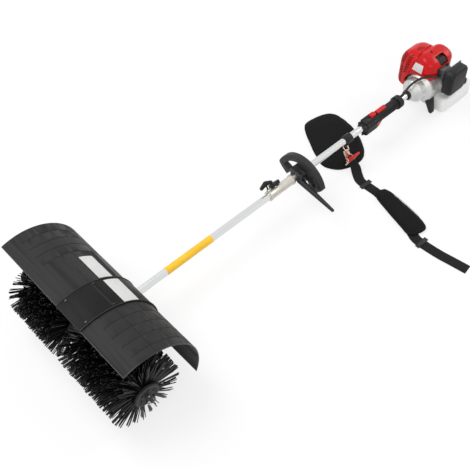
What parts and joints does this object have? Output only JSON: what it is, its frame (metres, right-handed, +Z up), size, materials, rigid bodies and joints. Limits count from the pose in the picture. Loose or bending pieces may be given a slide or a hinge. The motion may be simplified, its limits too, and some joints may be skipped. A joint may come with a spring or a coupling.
{
  "type": "power brush sweeper",
  "caption": "Walk-behind power brush sweeper with bristle drums under a curved hood, a long split boom with loop and throttle handles, a small red petrol engine and a padded harness.",
  "frame": {"origin": "middle of the bounding box, on the floor", "axes": "+Y along the boom from the drums to the engine, +Z up, X along the drum axle"},
  "size_m": [0.9599, 1.9754, 0.3214],
  "materials": {
    "hood": "matt textured black",
    "black_plastic": "matt",
    "bristle": "slightly glossy",
    "core": "matt warm grey",
    "tube": "bright drawn",
    "casting": "cast",
    "dark_casting": "painted cast",
    "steel": "machined",
    "coupler": "satin",
    "red_plastic": "glossy",
    "rubber": "matt",
    "pad_fabric": "woven",
    "webbing": "woven",
    "hook": "plated",
    "tank": "translucent",
    "sheet_metal": "heat-proof grey"
  },
  "bodies": {
    "machine": {"gear_case": "dark_casting", "gear_case_cover": "dark_casting", "cap_screws": "steel", "ball_bearings": "steel", "left_hood_panel": "hood", "right_hood_panel": "hood", "hood_saddle": "hood", "hood_bracket": "dark_casting", "hood_bolts": "steel", "lower_tube": "tube", "shaft_bushes": "rubber", "coupler_sleeve": "coupler", "upper_tube": "tube", "loop_handle": "rubber", "barrier_bar": "black_plastic", "left_throttle_shell": "black_plastic", "right_throttle_shell": "black_plastic", "throttle_cable": "rubber", "hanger_clamp": "black_plastic", "harness_hook": "hook", "hip_pad": "pad_fabric", "harness_strap": "webbing", "shoulder_pad": "pad_fabric", "strap_sliders": "black_plastic", "rubber_ring": "rubber", "clutch_housing": "casting", "crankcase": "casting", "finned_cylinder": "casting", "plug_cap": "rubber", "muffler": "sheet_metal", "carburettor": "casting", "air_filter_cover": "black_plastic", "engine_cover": "red_plastic", "starter_housing": "black_plastic", "fuel_tank": "tank", "engine_stand": "black_plastic"},
    "drums": {"drum_axle": "steel", "ring_gear": "steel", "left_drum_core": "core", "right_drum_core": "core", "left_bristles": "bristle", "right_bristles": "bristle", "drum_clips": "steel"},
    "drive": {"pinion_gear": "steel", "lower_drive_shaft": "steel", "upper_drive_shaft": "steel", "clutch_drum": "steel"},
    "crank": {"crankshaft": "steel", "flywheel": "casting", "clutch_shoes": "steel"},
    "trigger": {"throttle_trigger": "red_plastic"},
    "lockout": {"lockout_lever": "red_plastic"},
    "switch": {"stop_switch": "red_plastic"},
    "locking_pin": {"lock_pin": "black_plastic"},
    "knob": {"clamp_knob": "black_plastic"},
    "tab": {"release_tab": "red_plastic"},
    "choke": {"choke_lever": "black_plastic"},
    "grip": {"starter_grip": "black_plastic"},
    "pulley": {"starter_pulley": "black_plastic"},
    "cap": {"fuel_cap": "black_plastic"}
  },
  "joints": [
    {"name": "drum_spin", "type": "hinge", "parent": "machine", "child": "drums", "pos_m": [-0.15205, -0.86305, 0.125], "axis": [1, 0, 0], "continuous": true},
    {"name": "drive_spin", "type": "hinge", "parent": "machine", "child": "drive", "pos_m": [-0.15205, -0.16305, 0.125], "axis": [0, 1, 0], "continuous": true},
    {"name": "crank_spin", "type": "hinge", "parent": "machine", "child": "crank", "pos_m": [-0.15205, 0.80155, 0.125], "axis": [0, 1, 0], "continuous": true},
    {"name": "trigger_pull", "type": "hinge", "parent": "machine", "child": "trigger", "pos_m": [-0.15205, 0.47395, 0.096], "axis": [1, 0, 0], "range_deg": [0, 7], "stiffness_Nm_per_rad": 1, "springref_deg": -6.88},
    {"name": "lockout_press", "type": "hinge", "parent": "machine", "child": "lockout", "pos_m": [-0.15205, 0.52895, 0.1485], "axis": [1, 0, 0], "range_deg": [0, 4.5], "stiffness_Nm_per_rad": 1, "springref_deg": -6.88},
    {"name": "switch_slide", "type": "slide", "parent": "machine", "child": "switch", "axis": [0, 1, 0], "range_m": [0, 0.006]},
    {"name": "pin_pull", "type": "slide", "parent": "machine", "child": "locking_pin", "axis": [-0.5736, 0, 0.8192], "range_m": [0, 0.008], "stiffness_N_per_m": 500, "springref_m": -0.003},
    {"name": "knob_turn", "type": "hinge", "parent": "machine", "child": "knob", "pos_m": [-0.15205, -0.04305, 0.125], "axis": [-0.5736, 0, 0.8192], "range_deg": [0, 270]},
    {"name": "tab_pull", "type": "hinge", "parent": "machine", "child": "tab", "pos_m": [-0.12105, 0.32245, 0.044], "axis": [0, 1, 0], "range_deg": [0, 35], "stiffness_Nm_per_rad": 0.5, "springref_deg": -11.46},
    {"name": "choke_turn", "type": "hinge", "parent": "machine", "child": "choke", "pos_m": [-0.09405, 0.81995, 0.205], "axis": [0, 1, 0], "range_deg": [0, 40]},
    {"name": "starter_pull", "type": "slide", "parent": "machine", "child": "grip", "axis": [-1, 0, 0], "range_m": [0, 0.5], "stiffness_N_per_m": 15, "springref_m": -0.15},
    {"name": "pulley_spin", "type": "hinge", "parent": "machine", "child": "pulley", "pos_m": [-0.15205, 0.86205, 0.125], "axis": [0, -1, 0], "range_deg": [0, 956]},
    {"name": "cap_turn", "type": "hinge", "parent": "machine", "child": "cap", "pos_m": [-0.08205, 0.94405, 0.073], "axis": [0, 0, 1], "range_deg": [0, 180]}
  ],
  "couplings": [
    {"joint": "drive_spin", "follows": "drum_spin", "ratio": 2.5},
    {"joint": "pulley_spin", "follows": "starter_pull", "rad_per_m": 33.333}
  ]
}
